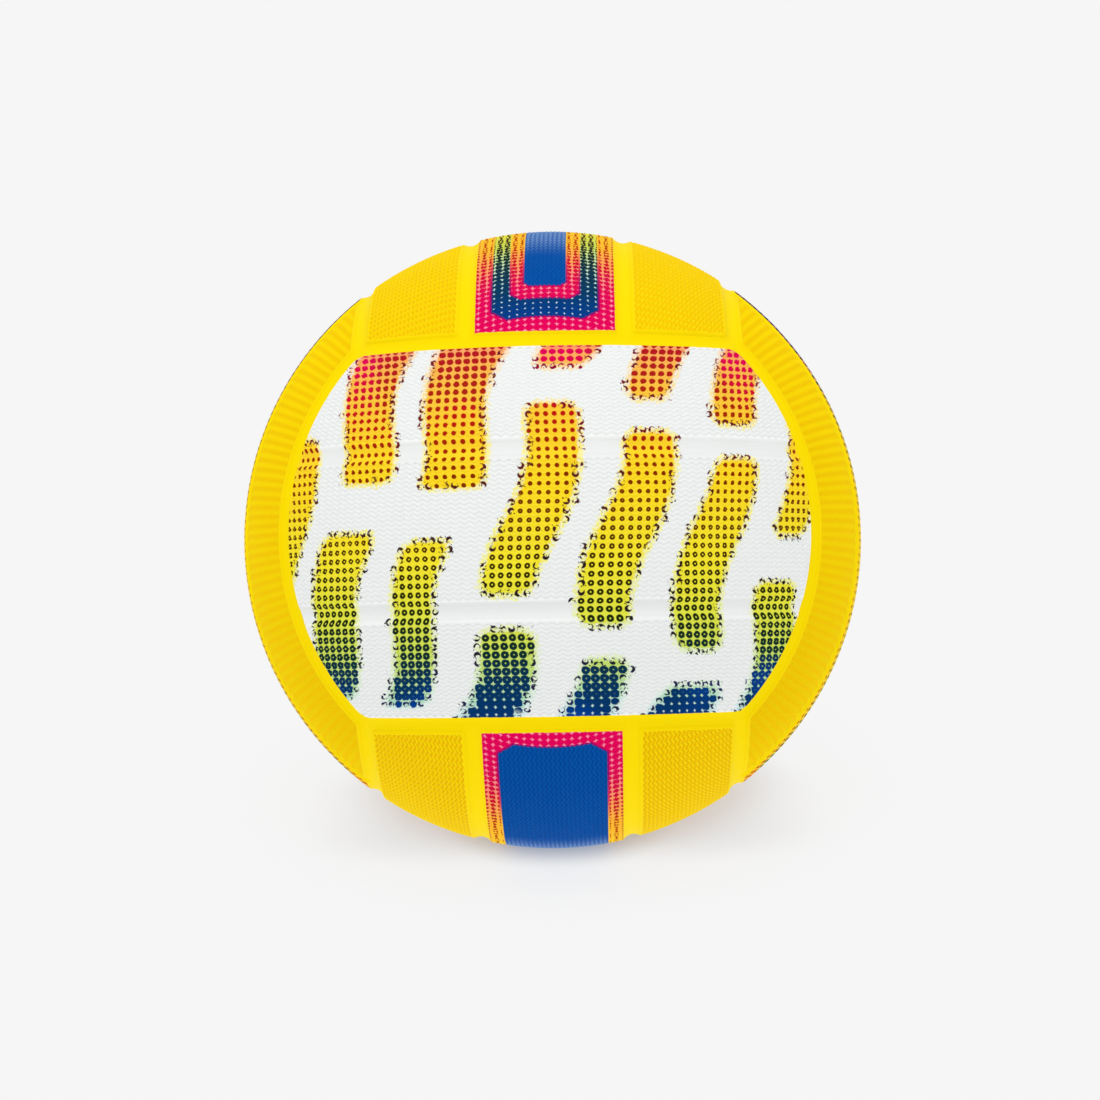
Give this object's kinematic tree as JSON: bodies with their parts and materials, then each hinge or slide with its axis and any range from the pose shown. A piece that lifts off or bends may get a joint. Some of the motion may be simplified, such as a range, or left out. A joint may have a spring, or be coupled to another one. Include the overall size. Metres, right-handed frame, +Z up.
{
  "type": "water polo ball",
  "caption": "Inflatable water polo ball: a valved bladder and a thread-wound carcass under raised grip panels, laid in crossed groups of strips and parted by channels.",
  "frame": {"origin": "centre of the ball", "axes": "+Z up; -Y out of the middle of the front group of white panels, whose strips run along X; +Y out of the needle hole, in the middle of the back group"},
  "size_m": [0.222, 0.2219, 0.222],
  "materials": {
    "yellow_rubber": "moulded grip texture",
    "white_rubber": "printed grip texture",
    "printed_rubber": "printed grip texture",
    "bladder_rubber": "smooth",
    "valve_rubber": "smooth",
    "thread": "wound thread"
  },
  "bodies": {
    "root": {"bladder": "bladder_rubber", "valve_housing": "valve_rubber", "valve_core": "valve_rubber", "winding": "thread", "cover_base": "yellow_rubber", "front_upper_panel": "white_rubber", "front_middle_panel": "white_rubber", "front_lower_panel": "white_rubber", "back_upper_panel": "white_rubber", "back_middle_panel": "white_rubber", "back_lower_panel": "white_rubber", "top_left_panel": "yellow_rubber", "top_middle_panel": "printed_rubber", "top_right_panel": "yellow_rubber", "bottom_left_panel": "yellow_rubber", "bottom_middle_panel": "printed_rubber", "bottom_right_panel": "yellow_rubber", "left_front_panel": "yellow_rubber", "left_middle_panel": "printed_rubber", "left_back_panel": "yellow_rubber", "right_front_panel": "yellow_rubber", "right_middle_panel": "printed_rubber", "right_back_panel": "yellow_rubber"}
  },
  "joints": []
}
